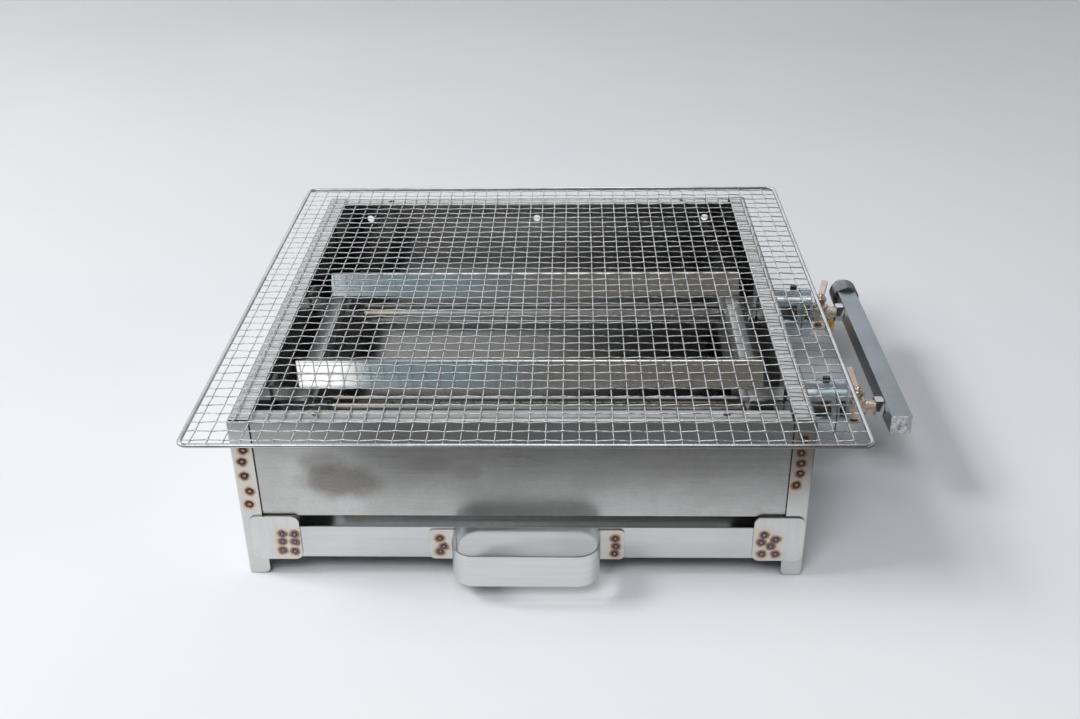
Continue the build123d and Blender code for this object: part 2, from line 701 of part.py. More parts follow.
def hose_nozzle():
    y0 = RAIL_Y1 + SOCKET_LEN
    nozzle = Pos(RAIL_X, y0, BURNER_Z) * extrude(Plane.XZ * hexagon(16.0), -NOZZLE_HEX_T)
    spigot = rod_y(NOZZLE_R, RAIL_X, y0 + NOZZLE_HEX_T, y0 + NOZZLE_LEN, BURNER_Z)
    nozzle += chamfer(circles(spigot).sort_by(Axis.Y)[-1], 0.8)
    return nozzle - rod_y(3.2, RAIL_X, y0 - 1, y0 + 40, BURNER_Z)


save(group([hex_x(15.0, 295.6, RAIL_X0, y, NECK_R + FIT) for _, y in BURNERS]), "rail_nuts")
save(gas_rail(), "gas_rail")
save(rail_end_plug(), "rail_end_plug")
save(inlet_socket(), "rail_inlet_socket")
save(hose_nozzle(), "hose_nozzle")
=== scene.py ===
"""Table-top gas grill: woven grate, sheet metal box and drip tray, two burners, gas rail.

+X right, +Y back, +Z up, with the origin in the plane of the top flange. The burners
run along X and the gas comes in at the right. Lengths are in millimetres and MM turns
them into metres; shader coordinates, the studio and the camera are in metres.
"""
import math
import random

import bmesh
import bpy
import numpy as np
from mathutils import Matrix, Vector, noise


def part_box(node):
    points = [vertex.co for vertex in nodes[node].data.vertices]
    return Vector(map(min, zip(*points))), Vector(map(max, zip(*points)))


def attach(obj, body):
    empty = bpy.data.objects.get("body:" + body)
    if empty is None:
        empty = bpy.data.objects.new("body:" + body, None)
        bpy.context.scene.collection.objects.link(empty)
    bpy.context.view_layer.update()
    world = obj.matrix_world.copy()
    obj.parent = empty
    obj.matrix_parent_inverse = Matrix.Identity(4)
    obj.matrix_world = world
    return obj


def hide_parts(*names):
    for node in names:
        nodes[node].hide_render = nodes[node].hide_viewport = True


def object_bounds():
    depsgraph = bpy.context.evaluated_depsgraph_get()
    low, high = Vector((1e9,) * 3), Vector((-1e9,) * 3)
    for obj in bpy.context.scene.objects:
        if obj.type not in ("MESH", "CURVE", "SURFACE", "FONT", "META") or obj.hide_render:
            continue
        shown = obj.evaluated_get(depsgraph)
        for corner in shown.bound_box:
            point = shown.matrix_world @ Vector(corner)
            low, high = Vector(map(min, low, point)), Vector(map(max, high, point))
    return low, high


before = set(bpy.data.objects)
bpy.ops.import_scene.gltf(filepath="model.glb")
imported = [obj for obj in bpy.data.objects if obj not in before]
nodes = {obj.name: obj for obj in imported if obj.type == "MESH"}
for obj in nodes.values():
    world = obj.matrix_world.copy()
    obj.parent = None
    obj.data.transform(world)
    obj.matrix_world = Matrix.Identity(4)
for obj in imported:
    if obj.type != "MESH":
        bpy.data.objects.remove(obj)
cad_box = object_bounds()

MM = 0.001
scene = bpy.context.scene
rng = random.Random(92)

# Spot welds, (x, z) in each row of points. Their heat tint is in the sheet's
# material, their raised rims are pieces.
FLANGE_Y = 224.0            # outer face of the corner flanges, behind and (negated) in front
PLATE_Y = -225.6            # outer face of the tray's stop plates and handle tabs
WELDS_LEFT = [(-209.1, -25.7), (-211.3, -35.9), (-211.1, -48.9), (-209.0, -63.1), (-210.7, -75.2)]
WELDS_RIGHT = [(209.8, -15.7), (208.7, -27.3), (209.5, -36.6), (209.6, -45.5), (207.5, -56.3)]
WELDS_PLATE_LEFT = [(-188.2, -102.3), (-178.6, -102.8), (-188.6, -109.7),
                    (-178.9, -110.2), (-189.3, -118.3), (-179.7, -119.2)]
WELDS_PLATE_RIGHT = [(186.6, -102.1), (184.9, -109.2), (195.7, -106.3),
                     (192.4, -113.1), (185.8, -120.3), (196.4, -120.3)]
WELDS_TABS = [(-64.8, -106.2), (-62.2, -114.1), (-65.0, -119.0),
              (71.8, -106.0), (72.4, -113.3), (71.5, -120.4)]
WELDS_BACK_LEFT = [(-210.0, -16), (-209.2, -40), (-210.6, -66), (-209.5, -92), (-210.2, -118)]
WELDS_BACK_RIGHT = [(-x, z) for x, z in WELDS_BACK_LEFT]

# Punched holes in the front and rear panels' top flanges
HOLE_X, HOLE_Y = 153, 213.5
SEAM_X = 202.2              # where the front sheet slips behind the corner flanges

# Handling marks on the front panel: centre (x, z), half sizes (x, z), strength
STAIN_Y, STAIN_HALF_DEPTH = -222.5, 60
STAINS = [
    ((-137.5, -54), (35, 17), 0.80), ((-152, -38), (20, 12), 0.45), ((-70, -40), (20, 9), 0.38),
    ((-40, -46), (13, 8), 0.28), ((120, -42), (40, 12), 0.16), ((60, -52), (24, 12), 0.14),
]

# Woven grate
GRATE_Z = 1.75              # the grate's middle
WIRE_RADIUS = 0.5
WIRE_PITCH = 12.2
CRIMP_LIFT = 0.515          # a wire's centre above or below the middle at a crossing
CRIMP_REACH = 2.6           # how far a crimp spreads along the wire
BORDER_INSET = 1.7          # from the border's outside to the line the wires start from
WIRE_END_GAP = 1.1          # from that line to the wire ends
FIRST_WIRE_X, FIRST_WIRE_Y = 8.0, 7.25      # from that line to the first wires


# --------------------------------------------------------------- shader nodes
class Net:
    """The node tree of a material or world, with short calls for the nodes used here."""

    def __init__(self, owner):
        self.owner = owner
        owner.use_nodes = True
        self.tree = owner.node_tree
        self.tree.nodes.clear()

    def node(self, kind, inputs=None, **settings):
        """inputs maps a socket's name or index to a socket, a value, or None to leave it."""
        node = self.tree.nodes.new("ShaderNode" + kind)
        for setting, value in settings.items():
            setattr(node, setting, value)
        for key, value in (inputs or {}).items():
            socket = node.inputs[key]
            if isinstance(value, bpy.types.NodeSocket):
                self.tree.links.new(value, socket)
            elif value is not None:
                is_color = socket.type == "RGBA"
                socket.default_value = (*value, 1.0) if is_color else value
        return node

    def math(self, operation, a, b=None, c=None):
        return self.node("Math", {0: a, 1: b, 2: c}, operation=operation).outputs[0]

    def times(self, a, b):
        return self.math("MULTIPLY", a, b)

    def plus(self, base, value, times):
        """base + value * times"""
        return self.math("MULTIPLY_ADD", value, times, base)

    def vary(self, base, value, amount):
        """base, swung up and down by a 0 to 1 pattern."""
        return self.plus(base, self.math("SUBTRACT", value, 0.5), amount)

    def vector_math(self, operation, a, b=None):
        node = self.node("VectorMath", {0: a, 1: b}, operation=operation)
        is_number = operation in ("DISTANCE", "DOT_PRODUCT", "LENGTH")
        return node.outputs["Value" if is_number else "Vector"]

    def coord(self):
        return self.node("TexCoord").outputs["Object"]

    def geometry(self, output):
        return self.node("NewGeometry").outputs[output]

    def axes(self, vector):
        return self.node("SeparateXYZ", {0: vector}).outputs

    def stretch(self, vector, scale, shift=(0, 0, 0)):
        inputs = {"Vector": vector, "Scale": scale, "Location": shift}
        return self.node("Mapping", inputs).outputs["Vector"]

    def noise(self, vector, scale, detail=2.0, rough=0.5, distortion=0.0):
        inputs = {"Vector": vector, "Scale": scale, "Detail": detail, "Roughness": rough,
                  "Distortion": distortion}
        return self.node("TexNoise", inputs).outputs["Fac"]

    def remap(self, value, span, to=(0.0, 1.0), smooth=True):
        """Takes the span of value onto the span to, and holds it there beyond the ends."""
        inputs = {"Value": value, "From Min": span[0], "From Max": span[1],
                  "To Min": to[0], "To Max": to[1]}
        kind = "SMOOTHSTEP" if smooth else "LINEAR"
        node = self.node("MapRange", inputs, interpolation_type=kind, clamp=True)
        return node.outputs["Result"]

    def mix(self, factor, a, b, mode="MIX"):
        return self.node("Mix", {"Factor": factor, 6: a, 7: b}, data_type="RGBA",
                         blend_type=mode, clamp_result=False).outputs[2]

    def cover(self, color, mask, amount, over):
        """color with another laid over it where mask is 1, at the strength amount."""
        return self.mix(self.times(mask, amount), color, over)

    def shade(self, color, value):
        """color multiplied by a number."""
        return self.mix(1.0, color, self.mix(1.0, value, value), "MULTIPLY")

    def ramp(self, factor, stops):
        node = self.node("ValToRGB", {"Fac": factor})
        elements = node.color_ramp.elements
        while len(elements) < len(stops):
            elements.new(0.5)
        for element, (position, color) in zip(elements, stops):
            element.position = position
            element.color = (*color, 1.0)
        return node.outputs["Color"]

    def bump(self, height, depth, strength, normal=None):
        """depth is in millimetres."""
        inputs = {"Height": height, "Distance": depth * MM, "Strength": strength,
                  "Normal": normal}
        return self.node("Bump", inputs).outputs["Normal"]

    def bevel(self, radius):
        """The normal with edges rounded off, radius in millimetres."""
        return self.node("Bevel", {"Radius": radius * MM}, samples=4).outputs["Normal"]

    def edge(self, bevel_normal):
        """1 on the sharp edges, 0 on the flats."""
        dot = self.vector_math("DOT_PRODUCT", bevel_normal, self.geometry("Normal"))
        return self.remap(dot, (0.995, 0.86))

    def crevice(self, reach, samples, openness=(0.72, 0.10), to=(0.0, 1.0)):
        """1 deep in a corner or gap, 0 in the open; reach is in millimetres."""
        node = self.node("AmbientOcclusion", {"Distance": reach * MM}, samples=samples)
        return self.remap(node.outputs["AO"], openness, to)

    def nearest(self, vector, centres):
        """Distance in metres to the nearest of these points, given in millimetres."""
        best = None
        for centre_point in centres:
            point = tuple(v * MM for v in centre_point)
            distance = self.vector_math("DISTANCE", vector, point)
            best = distance if best is None else self.math("MINIMUM", best, distance)
        return best

    def finish(self, color, rough, normal, metallic=1.0):
        inputs = {"Base Color": color, "Roughness": rough, "Metallic": metallic,
                  "Normal": normal}
        shader = self.node("BsdfPrincipled", inputs)
        self.node("OutputMaterial", {"Surface": shader.outputs[0]})
        return self.owner


def material_net(name):
    return Net(bpy.data.materials.new(name))


def dim(color, factor):
    return tuple(channel * factor for channel in color)


def grey(value):
    return (value, value, value)


def use(material, *piece_names):
    for piece_name in piece_names:
        nodes[piece_name].material_slots[0].material = material


def pairs(*stems):
    """The front and rear piece of each stem."""
    return [stem + end for stem in stems for end in ("_front", "_rear")]


# ------------------------------------------------------------ stainless sheet
class Sheet(Net):
    """Rolled or brushed stainless sheet; each method adds a mark, finished() ends it.

    grain is the streak noise's frequency along each axis, per metre. seed moves the
    patterns, smudge is the strength of the wiped smears and tint_drift how far the
    colour wanders towards straw.
    """
    EDGE_RADIUS = 0.35

    def __init__(self, name, color, rough, grain, seed, smudge=0.55, tint_drift=0.04):
        super().__init__(bpy.data.materials.new(name))
        self.co = self.coord()
        self.shifted = self.stretch(self.co, (1, 1, 1), (seed, seed * 0.7, seed * 1.3))
        fine = self.noise(self.stretch(self.shifted, grain), 1.0, detail=3.0, rough=0.65)
        coarse = self.noise(self.stretch(self.shifted, dim(grain, 0.28)), 1.0)
        self.pits = self.noise(self.shifted, 1400.0, rough=0.6)
        self.cloud = self.noise(self.shifted, 11.0, detail=5.0, rough=0.62, distortion=0.6)
        wipe_scale = (9, 24, 24) if grain[0] < grain[1] else (24, 9, 24)
        wipe = self.noise(self.stretch(self.shifted, wipe_scale), 1.0,
                          detail=4.0, rough=0.6, distortion=1.2)
        smear = self.remap(self.times(self.cloud, wipe), (0.22, 0.42))

        self.streak = self.math("ADD", self.times(fine, 0.6), self.times(coarse, 0.4))
        self.rough = self.vary(rough, self.streak, amount=0.18)
        self.rough = self.plus(self.rough, smear, times=0.10 * smudge)
        streak_shade = self.remap(self.streak, (0.25, 0.75), to=(0.90, 1.07), smooth=False)
        drift = (1 - tint_drift, 1 - tint_drift * 1.05, 1 - tint_drift * 1.4)
        drifted = tuple(channel * k for channel, k in zip(color, drift))
        tint = self.mix(self.remap(self.cloud, (0.35, 0.7)), color, drifted)
        self.color = self.shade(tint, streak_shade)
        self.color = self.cover(self.color, smear, amount=0.16 * smudge, over=(0.40, 0.385, 0.36))

    def mottle(self, depth):
        """An uneven mill skin."""
        grit = self.noise(self.shifted, 640.0, detail=3.0, rough=0.7)
        skin = self.remap(grit, (0.30, 0.70), to=(1 - depth, 1 + depth * 0.6), smooth=False)
        patches = self.noise(self.shifted, 24.0, detail=5.0, rough=0.68, distortion=0.5)
        blot = self.remap(patches, (0.32, 0.68), to=(1 - depth, 1 + depth * 0.4))
        self.color = self.shade(self.color, self.times(skin, blot))

    def speckle(self, amount):
        """Pale dust in patches."""
        cells = self.node("TexVoronoi", {"Vector": self.shifted, "Scale": 420.0}, feature="F1")
        dots = self.remap(cells.outputs["Distance"], (0.05, 0.30), to=(1.0, 0.0))
        patch = self.remap(self.noise(self.shifted, 30.0, detail=3.0), (0.42, 0.62))
        dust = self.times(self.times(dots, patch), amount)
        self.color = self.mix(dust, self.color, (0.80, 0.78, 0.74))
        self.rough = self.plus(self.rough, dust, times=0.25)

    def stains(self, stains):
        """Oval handling marks with a ragged rim."""
        for (x, z), (half_x, half_z), amount in stains:
            centre_point = (x * MM, STAIN_Y * MM, z * MM)
            offset = self.vector_math("SUBTRACT", self.co, centre_point)
            halves = (half_x, STAIN_HALF_DEPTH, half_z)
            offset = self.stretch(offset, tuple(1 / (half * MM) for half in halves))
            distance = self.vector_math("LENGTH", offset)
            rim = self.noise(self.shifted, 42.0, detail=5.0, rough=0.6)
            distance = self.math("ADD", distance, self.plus(-0.45, rim, times=0.9))
            mark = self.times(self.remap(distance, (1.22, 0.50)), amount)
            grit = self.noise(self.shifted, 520.0, rough=0.6)
            mark = self.times(mark, self.remap(grit, (0.30, 0.62), to=(0.84, 1.0)))
            self.color = self.mix(mark, self.color, (0.29, 0.268, 0.245))
            self.rough = self.plus(self.rough, mark, times=0.22)

    def welds(self, points):
        """Heat tint: straw to brown to blue towards each weld."""
        distance = self.nearest(self.co, points)
        ragged = self.noise(self.shifted, 260.0, detail=3.0)
        distance = self.math("ADD", distance, self.plus(-0.0015, ragged, times=0.0030))
        heat = self.ramp(self.remap(distance, (0.0028, 0.0068), smooth=False), [
            (0.0, (0.10, 0.075, 0.11)), (0.16, (0.24, 0.12, 0.07)), (0.36, (0.52, 0.30, 0.14)),
            (0.62, (0.66, 0.52, 0.36)), (1.0, (0.64, 0.60, 0.55))])
        haze = self.remap(distance, (0.0125, 0.0045), to=(0.0, 0.30))
        self.color = self.mix(haze, self.color, (0.68, 0.53, 0.38))
        amount = self.remap(distance, (0.0030, 0.0064), to=(0.85, 0.0))
        self.color = self.mix(amount, self.color, heat)
        self.rough = self.plus(self.rough, amount, times=0.12)

    def inside_shade(self):
        """Painted shade on the faces that look into the box, deeper at the gas end; those faces
        are also brighter finished.
        """
        normal = self.axes(self.geometry("True Normal"))
        place = self.axes(self.co)
        facing = self.math("ADD", self.times(normal[0], place[0]),
                           self.times(normal[1], place[1]))
        inside = self.remap(facing, (-0.02, -0.06))
        self.rough = self.plus(self.rough, inside, times=-0.10)
        # more of it at the gas end
        clouded_x = self.plus(place[0], self.cloud, times=0.06)
        shade_depth = self.remap(clouded_x, (0.00, 0.17), to=(0.34, 0.76))
        # painted shade over the faces that look into the box
        self.color = self.cover(self.color, inside, shade_depth, over=(0.08, 0.08, 0.075))

    def tray_floor_shade(self):
        """Painted shade on upward faces, behind the front wall and at the gas end."""
        place = self.axes(self.co)
        up = self.axes(self.geometry("True Normal"))[2]
        near_front = self.times(self.remap(place[1], (-0.130, -0.200)),
                                self.remap(up, (0.5, 0.9)))
        shade_depth = self.remap(place[0], (-0.06, 0.10), to=(0.5, 0.8))
        clouded_x = self.plus(place[0], self.cloud, times=0.06)
        gas_end = self.times(self.remap(clouded_x, (0.06, 0.20), to=(0.0, 0.50)),
                             self.remap(up, (0.5, 0.9)))
        # painted shade on the tray floor
        film = self.math("MAXIMUM", self.times(near_front, shade_depth), gas_end)
        self.color = self.mix(film, self.color, (0.07, 0.07, 0.068))

    def seams(self, seam_x):
        """The shadow gap where the sheet slips behind the corner flanges."""
        x = self.math("ABSOLUTE", self.axes(self.co)[0])
        gap = self.remap(x, ((seam_x - 1.1) * MM, (seam_x - 0.4) * MM), to=(0.0, 0.88))
        self.color = self.mix(gap, self.color, grey(0.03))

    def holes(self, y):
        """A painted shade ring round each of the pair of punched holes at this y."""
        distance = self.nearest(self.co, [(-HOLE_X, y, 0), (HOLE_X, y, 0)])
        hole_shade = self.remap(distance, (0.0034, 0.0027), to=(0.0, 0.85))
        # painted shade round the holes
        self.color = self.mix(hole_shade, self.color, (0.05, 0.048, 0.045))

    def finished(self, tilt=0.0):
        """Painted shade in corners and gaps, worn edges and relief; tilt leans the normals towards
        +X.
        """
        bevel = self.bevel(self.EDGE_RADIUS)
        worn = self.edge(bevel)
        # painted shade: darker where corners and gaps close in
        crevice_shade = self.crevice(4.0, samples=6)
        color = self.cover(self.color, crevice_shade, amount=0.72, over=(0.055, 0.052, 0.048))
        color = self.cover(color, worn, amount=0.45, over=(0.86, 0.86, 0.85))
        rough = self.plus(self.rough, worn, times=0.06)
        height = self.plus(self.streak, self.pits, times=0.35)
        normal = self.bump(height, depth=0.010, strength=0.55, normal=bevel)
        # sheet is never quite flat
        waves = self.noise(self.shifted, 5.5, rough=0.4)
        normal = self.bump(waves, depth=0.22, strength=0.5, normal=normal)
        if tilt:
            leaning = self.vector_math("ADD", normal, (tilt, 0.0, 0.0))
            normal = self.vector_math("NORMALIZE", leaning)
        return self.finish(color, rough, normal)


def at_y(points, y):
    return [(x, y, z) for x, z in points]


def box_sheets():
    for side, seed, front_welds, back_welds in (
            ("left", 1.3, WELDS_LEFT, WELDS_BACK_LEFT),
            ("right", 2.9, WELDS_RIGHT, WELDS_BACK_RIGHT)):
        sheet = Sheet("side_sheet_" + side, color=(0.68, 0.675, 0.66), rough=0.21,
                      grain=(700, 26, 700), seed=seed)
        sheet.welds(at_y(front_welds, -FLANGE_Y) + at_y(back_welds, FLANGE_Y))
        sheet.inside_shade()
        use(sheet.finished(), "side_panel_" + side)

    sheet = Sheet("front_sheet", color=(0.63, 0.625, 0.61), rough=0.29,
                  grain=(24, 760, 760), seed=0.4, smudge=0.9)
    sheet.mottle(depth=0.085)
    sheet.stains(STAINS)
    sheet.seams(SEAM_X)
    sheet.holes(-HOLE_Y)
    use(sheet.finished(), "front_panel")

    sheet = Sheet("rear_sheet", color=(0.70, 0.695, 0.68), rough=0.20,
                  grain=(24, 760, 760), seed=5.2, smudge=0.5)
    sheet.inside_shade()
    sheet.holes(HOLE_Y)
    use(sheet.finished(), "rear_panel")


def tray_sheets():
    sheet = Sheet("tray_sheet", color=(0.67, 0.68, 0.68), rough=0.11,
                  grain=(24, 700, 700), seed=7.7, smudge=0.4)
    sheet.tray_floor_shade()
    use(sheet.finished(), "drip_tray")

    for side, seed, points in (("left", 3.1, WELDS_PLATE_LEFT), ("right", 4.6, WELDS_PLATE_RIGHT)):
        sheet = Sheet("stop_sheet_" + side, color=(0.74, 0.735, 0.725), rough=0.33,
                      grain=(500, 500, 26), seed=seed, smudge=0.4)
        sheet.welds(at_y(points, PLATE_Y))
        use(sheet.finished(), "tray_stop_plate_" + side)

    sheet = Sheet("handle_sheet", color=(0.74, 0.737, 0.73), rough=0.30,
                  grain=(26, 26, 900), seed=6.0, smudge=0.3)
    sheet.welds(at_y(WELDS_TABS, PLATE_Y))
    use(sheet.finished(), "tray_handle")


def inner_sheets():
    for k, piece_name in enumerate(("tray_runner_left", "tray_runner_right", "rack_rail_left",
                                    "rack_rail_right", "rack_brackets")):
        sheet = Sheet("inner_sheet_%d" % k, color=(0.72, 0.72, 0.71), rough=0.30,
                      grain=(600, 26, 600), seed=8.1 + k)
        use(sheet.finished(), piece_name)

    for end, rough, seed, tilt in (("front", 0.07, 9.9, -0.011), ("rear", 0.09, 11.2, 0.0)):
        sheet = Sheet("deflector_sheet_" + end, color=(0.66, 0.65, 0.63), rough=rough,
                      grain=(18, 620, 620), seed=seed, smudge=0.5, tint_drift=0.08)
        sheet.speckle(amount=0.30)
        use(sheet.finished(tilt), "deflector_" + end)


box_sheets()
tray_sheets()
inner_sheets()


# ---------------------------------------------------------------- other metals
def burner_material():
    """Drawn tube: lines along it, straw to brown heat tint at the closed end."""
    net = material_net("burner_tube")
    co = net.coord()
    x = net.axes(co)[0]
    lines = net.noise(net.stretch(co, (16, 900, 900)), 1.0, detail=3.0, rough=0.6)
    cloud = net.noise(co, 40.0, detail=4.0, rough=0.6)
    ragged_x = net.plus(x, cloud, times=0.016)
    base = net.mix(net.remap(cloud, (0.35, 0.7)), (0.68, 0.675, 0.66), (0.60, 0.59, 0.57))
    heat = net.ramp(net.remap(ragged_x, (-0.156, -0.108), smooth=False), [
        (0.0, (0.66, 0.58, 0.48)), (0.35, (0.76, 0.69, 0.58)),
        (0.7, (0.78, 0.74, 0.67)), (1.0, (0.72, 0.71, 0.68))])
    color = net.mix(net.remap(ragged_x, (-0.095, -0.130)), base, heat)
    gas_end = net.remap(net.plus(x, cloud, times=0.02), (0.165, 0.235))
    color = net.cover(color, gas_end, amount=0.35, over=(0.46, 0.37, 0.27))
    bevel = net.bevel(0.25)
    rough = net.math("ADD", net.vary(0.27, lines, amount=0.2), -0.09)
    return net.finish(color, rough, net.bump(lines, depth=0.03, strength=0.6, normal=bevel))


def plated(name, color, second, rough, hue_scale, edge=(0.92, 0.94, 0.96), scratch=0.3,
           pebbles=0.0, metallic=1.0):
    """Plated or turned metal drifting between two colours, with tool marks.

    edge is the colour of the worn edges, scratch the depth of the tool marks and
    pebbles the strength of a sand casting's skin.
    """
    net = material_net(name)
    co = net.coord()
    cloud = net.noise(co, hue_scale, detail=4.0, rough=0.6, distortion=0.4)
    mottle = net.noise(co, hue_scale * 9, detail=3.0, rough=0.65)
    tool_marks = net.noise(net.stretch(co, (1800, 140, 140)), 1.0, rough=0.6)
    mixed = net.mix(net.remap(cloud, (0.36, 0.64)), color, second)
    mixed = net.cover(mixed, net.remap(mottle, (0.45, 0.75)), amount=0.22, over=dim(color, 0.62))
    rough = net.vary(rough, mottle, amount=0.22)
    bevel = net.bevel(0.25)
    mixed = net.cover(mixed, net.edge(bevel), amount=0.5, over=edge)
    height = net.plus(net.times(mottle, 0.5), tool_marks, times=scratch)
    normal = net.bump(height, depth=0.03, strength=0.6, normal=bevel)
    if pebbles:
        skin = net.noise(co, 900.0, detail=3.0, rough=0.7)
        hollows = net.remap(skin, (0.50, 0.36), to=(0.0, 0.55))
        mixed = net.mix(hollows, mixed, dim(color, 0.45))
        normal = net.bump(skin, depth=0.30, strength=pebbles, normal=normal)
    # painted shade: darker where corners and gaps close in
    mixed = net.cover(mixed, net.crevice(2.5, samples=4), amount=0.45, over=dim(color, 0.12))
    return net.finish(mixed, rough, normal, metallic)


def rail_material():
    """Extruded aluminium with die lines along Y."""
    net = material_net("extruded_aluminium")
    co = net.coord()
    die = net.noise(net.stretch(co, (1500, 7, 1500)), 1.0, detail=3.0, rough=0.6)
    cloud = net.noise(co, 26.0, detail=5.0, rough=0.6)
    pits = net.remap(net.noise(co, 1500.0, detail=3.0, rough=0.7), (0.54, 0.68))
    color = net.mix(net.remap(cloud, (0.35, 0.7)), (0.50, 0.55, 0.58), (0.42, 0.46, 0.48))
    color = net.cover(color, net.remap(die, (0.5, 0.75)), amount=0.35, over=(0.64, 0.68, 0.71))
    color = net.cover(color, pits, amount=0.4, over=(0.35, 0.36, 0.38))
    bevel = net.bevel(0.3)
    color = net.cover(color, net.edge(bevel), amount=0.5, over=(0.88, 0.90, 0.92))
    rough = net.vary(0.36, die, amount=0.2)
    height = net.plus(die, pits, times=-0.5)
    return net.finish(color, rough, net.bump(height, depth=0.05, strength=0.6, normal=bevel))


def cast_plug_material():
    net = material_net("rough_cast_aluminium")
    co = net.coord()
    grit = net.noise(co, 330.0, detail=4.0, rough=0.6, distortion=0.8)
    lump = net.noise(co, 150.0, detail=3.0, rough=0.6)
    color = net.mix(net.remap(grit, (0.40, 0.62)), (0.92, 0.93, 0.95), (0.50, 0.51, 0.53))
    color = net.mix(net.remap(lump, (0.40, 0.28)), color, (0.20, 0.20, 0.21))
    rough = net.remap(lump, (0.3, 0.7), to=(0.22, 0.5))
    normal = net.bump(net.math("ADD", grit, lump), depth=0.6, strength=0.9)
    return net.finish(color, rough, normal, metallic=0.5)


def wire_material(name, color, rough, underside_shade=0.0):
    """Drawn wire: fine lines, small scuffs and a duller film here and there.

    The last argument is the strength of a painted shade on the faces that look down.
    """
    net = material_net(name)
    co = net.coord()
    scuff = net.noise(co, 900.0, detail=3.0, rough=0.7)
    film = net.noise(co, 38.0, detail=4.0, rough=0.6)
    lines = net.noise(net.stretch(co, (2600, 2600, 2600)), 1.0, detail=1.0)
    mixed = net.mix(net.remap(film, (0.4, 0.68)), color, dim(color, 0.80))
    mixed = net.cover(mixed, net.remap(scuff, (0.52, 0.72)), amount=0.35, over=grey(0.42))
    rough = net.vary(rough, scuff, amount=0.30)
    if underside_shade:
        # painted shade: the faces that look down go dark
        up = net.axes(net.geometry("Normal"))[2]
        mixed = net.mix(net.remap(up, (-0.10, -0.62), to=(0.0, underside_shade)), mixed, grey(0.03))
    height = net.math("ADD", scuff, net.times(lines, 0.4))
    return net.finish(mixed, rough, net.bump(height, depth=0.03, strength=0.5))


def weld_material(name, stops):
    """Tinted by the radial attribute, 0 at a weld's middle and 1 at its rim."""
    net = material_net(name)
    co = net.coord()
    radial = net.node("Attribute", attribute_name="radial").outputs["Fac"]
    ragged = net.noise(co, 700.0, detail=4.0, rough=0.7)
    color = net.ramp(net.math("ADD", radial, net.plus(-0.15, ragged, times=0.30)), stops)
    rough = net.plus(0.22, ragged, times=0.3)
    return net.finish(color, rough, net.bump(ragged, depth=0.12, strength=0.7), metallic=0.85)


use(burner_material(), *pairs("burner_pipe"), "burner_end_plugs")
zinc = plated("zinc_plate", (0.46, 0.58, 0.65), (0.68, 0.74, 0.77), rough=0.23,
              hue_scale=45.0, edge=(0.90, 0.96, 0.99), metallic=0.86)
use(zinc, *pairs("mixer_body", "air_shutter"))
brass = plated("brass_turned", (0.76, 0.57, 0.31), (0.70, 0.50, 0.27), rough=0.22,
               hue_scale=70.0, edge=(0.95, 0.82, 0.56))
use(brass, *pairs("orifice", "valve_plug", "valve_spring_cap"), "hose_nozzle")
lever_brass = plated("brass_tumbled", (0.86, 0.70, 0.60), (0.78, 0.60, 0.49), rough=0.20,
                     hue_scale=80.0, edge=(0.98, 0.88, 0.78), scratch=0.1)
use(lever_brass, *pairs("valve_lever"))
cast_brass = plated("brass_cast", (0.93, 0.81, 0.69), (0.84, 0.68, 0.52), rough=0.27,
                    hue_scale=160.0, edge=(0.99, 0.94, 0.86), scratch=0.1, pebbles=0.8,
                    metallic=0.75)
use(cast_brass, *pairs("valve_body"))
chrome = plated("nickel_plate", (0.74, 0.74, 0.74), (0.66, 0.66, 0.67), rough=0.14,
                hue_scale=60.0)
use(chrome, "rail_nuts")
fastener = plated("zinc_fastener", (0.64, 0.65, 0.66), (0.56, 0.57, 0.57), rough=0.26,
                  hue_scale=90.0)
use(fastener, "burner_stay_bolts", "burner_stay_nuts", "burner_lock_nuts",
    *pairs("valve_spring"))
black_screw = plated("black_oxide", (0.055, 0.055, 0.06), (0.09, 0.085, 0.08), rough=0.35,
                     hue_scale=120.0, edge=(0.30, 0.30, 0.31))
use(black_screw, *pairs("shutter_screw"))
socket_grey = plated("grey_phosphate", (0.22, 0.23, 0.25), (0.34, 0.35, 0.36), rough=0.26,
                     hue_scale=70.0, edge=(0.80, 0.82, 0.84))
use(socket_grey, "rail_inlet_socket")
amber = plated("amber_lacquer_brass", (0.80, 0.47, 0.09), (0.66, 0.35, 0.05), rough=0.24,
               hue_scale=110.0, edge=(0.98, 0.74, 0.30), metallic=0.6)
use(amber, "test_point_cap")
use(rail_material(), "gas_rail")
cast_aluminium = cast_plug_material()
use(cast_aluminium, "rail_end_plug")
use(wire_material("grate_rod", (0.76, 0.77, 0.79), rough=0.16, underside_shade=0.85), "grate_border")
wire_metal = wire_material("grate_wire", (0.90, 0.91, 0.92), rough=0.13)


# -------------------------------------------------------------------- meshes
def mend(mesh, sharp):
    """Turns the faces outwards and marks edges sharper than this many degrees."""
    bm = bmesh.new()
    bm.from_mesh(mesh)
    bmesh.ops.recalc_face_normals(bm, faces=bm.faces)
    if sharp:
        for edge in bm.edges:
            if len(edge.link_faces) == 2 and edge.calc_face_angle(0) > math.radians(sharp):
                edge.smooth = False
    bm.to_mesh(mesh)
    bm.free()


